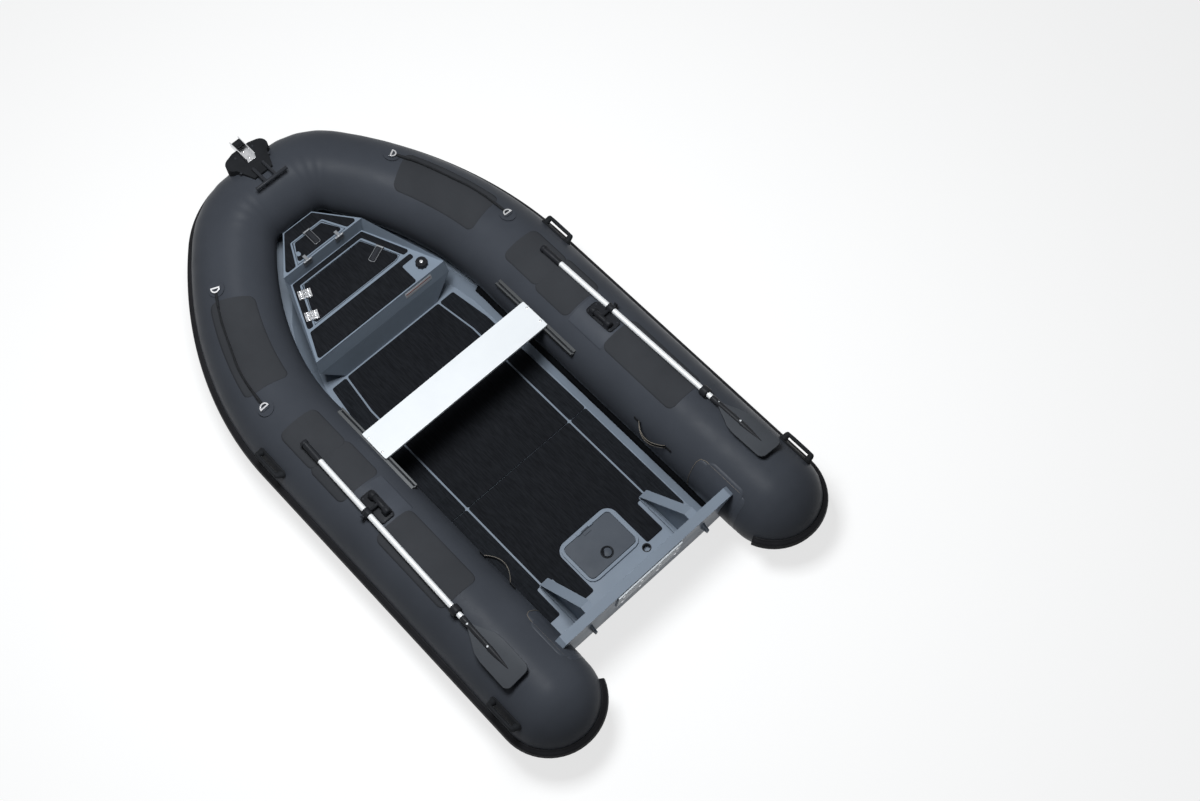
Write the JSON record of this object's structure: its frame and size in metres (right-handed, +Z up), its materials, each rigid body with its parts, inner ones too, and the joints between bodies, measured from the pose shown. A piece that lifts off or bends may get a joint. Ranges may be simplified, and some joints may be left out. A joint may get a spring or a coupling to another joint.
{
  "type": "rigid inflatable tender",
  "caption": "Black rigid inflatable tender with an aluminium hull, a bow locker with hinged lids, a sliding seat and a pair of stowed oars.",
  "frame": {"origin": "on the centreline at the waterline, below the transom's top", "axes": "+X to the bow, +Y to port, +Z up"},
  "size_m": [3.0089, 1.7454, 0.7083],
  "materials": {
    "tube_black": "coated fabric, black",
    "strake_black": "black moulded rubber",
    "hull_grey": "powder-coated aluminium, blue-grey",
    "white_plate": "white plastic plate",
    "foam_black": "closed-cell foam, black",
    "hatch_grey": "powder-coated aluminium, darker blue-grey",
    "lid_grey": "powder-coated aluminium, blue-grey",
    "black_plastic": "black moulded plastic",
    "stainless": "brushed stainless steel",
    "bare_aluminium": "anodised aluminium",
    "rope": "dark braided rope",
    "webbing": "black webbing",
    "soft_rubber": "dark grey moulded rubber"
  },
  "bodies": {
    "boat": {"buoyancy_tube": "tube_black", "rub_strake": "strake_black", "hull_bottom": "hull_grey", "hull_floor": "hull_grey", "hull_sides": "hull_grey", "transom": "hull_grey", "transom_knees": "hull_grey", "motor_pad": "white_plate", "towing_eyes": "hull_grey", "deck_pads": "foam_black", "side_pads": "foam_black", "hatch_frame": "hull_grey", "locker_walls": "lid_grey", "locker_deck": "lid_grey", "fore_locker": "lid_grey", "locker_foam": "foam_black", "main_hinge_fixed": "stainless", "fore_hinge_fixed": "stainless", "deck_caps": "black_plastic", "bow_pad": "soft_rubber", "bow_channel": "stainless", "bow_cleat": "stainless", "ring_patches": "soft_rubber", "dee_rings": "stainless", "lifeline_port": "rope", "lifeline_starboard": "rope", "carry_handles": "soft_rubber", "grab_loops": "webbing", "seat_tracks": "bare_aluminium", "rowlock_bases": "soft_rubber", "oar_clips": "black_plastic"},
    "main_lid": {"main_lid": "lid_grey", "main_lid_foam": "foam_black", "main_hinge_moving": "stainless", "main_latch": "black_plastic"},
    "fore_lid": {"fore_lid": "lid_grey", "fore_lid_foam": "foam_black", "fore_hinge_moving": "stainless", "fore_latch": "black_plastic"},
    "hatch_lid": {"hatch_lid": "hatch_grey"},
    "seat": {"seat_board": "bare_aluminium"},
    "roller": {"bow_roller": "black_plastic"},
    "port_oar": {"port_swivel": "black_plastic", "port_oar_shaft": "bare_aluminium", "port_oar_sleeves": "black_plastic", "port_oar_blade": "black_plastic"},
    "starboard_oar": {"starboard_swivel": "black_plastic", "starboard_oar_shaft": "bare_aluminium", "starboard_oar_sleeves": "black_plastic", "starboard_oar_blade": "black_plastic"}
  },
  "joints": [
    {"name": "main_lid_hinge", "type": "hinge", "parent": "boat", "child": "main_lid", "pos_m": [1.976, 0.215, 0.2608], "axis": [-0.92, 0.3919, 0], "range_deg": [0, 90]},
    {"name": "fore_lid_hinge", "type": "hinge", "parent": "boat", "child": "fore_lid", "pos_m": [2.1102, 0, 0.3408], "axis": [0, -1, 0], "range_deg": [0, 100]},
    {"name": "hatch_lid_hinge", "type": "hinge", "parent": "boat", "child": "hatch_lid", "pos_m": [0.39875, 0, 0.0338], "axis": [0, 1, 0], "range_deg": [0, 100]},
    {"name": "seat_slide", "type": "slide", "parent": "boat", "child": "seat", "axis": [1, 0, 0], "range_m": [-0.165, 0.155]},
    {"name": "port_oar_lift", "type": "hinge", "parent": "boat", "child": "port_oar", "pos_m": [0.945, 0.622, 0.437], "axis": [0.9998, -0.0192, 0], "range_deg": [0, 90]},
    {"name": "starboard_oar_lift", "type": "hinge", "parent": "boat", "child": "starboard_oar", "pos_m": [0.945, -0.622, 0.437], "axis": [-0.9998, -0.0192, 0], "range_deg": [0, 90]},
    {"name": "bow_roller_turn", "type": "hinge", "parent": "boat", "child": "roller", "pos_m": [2.648, 0, 0.5963], "axis": [0, 1, 0], "continuous": true}
  ]
}
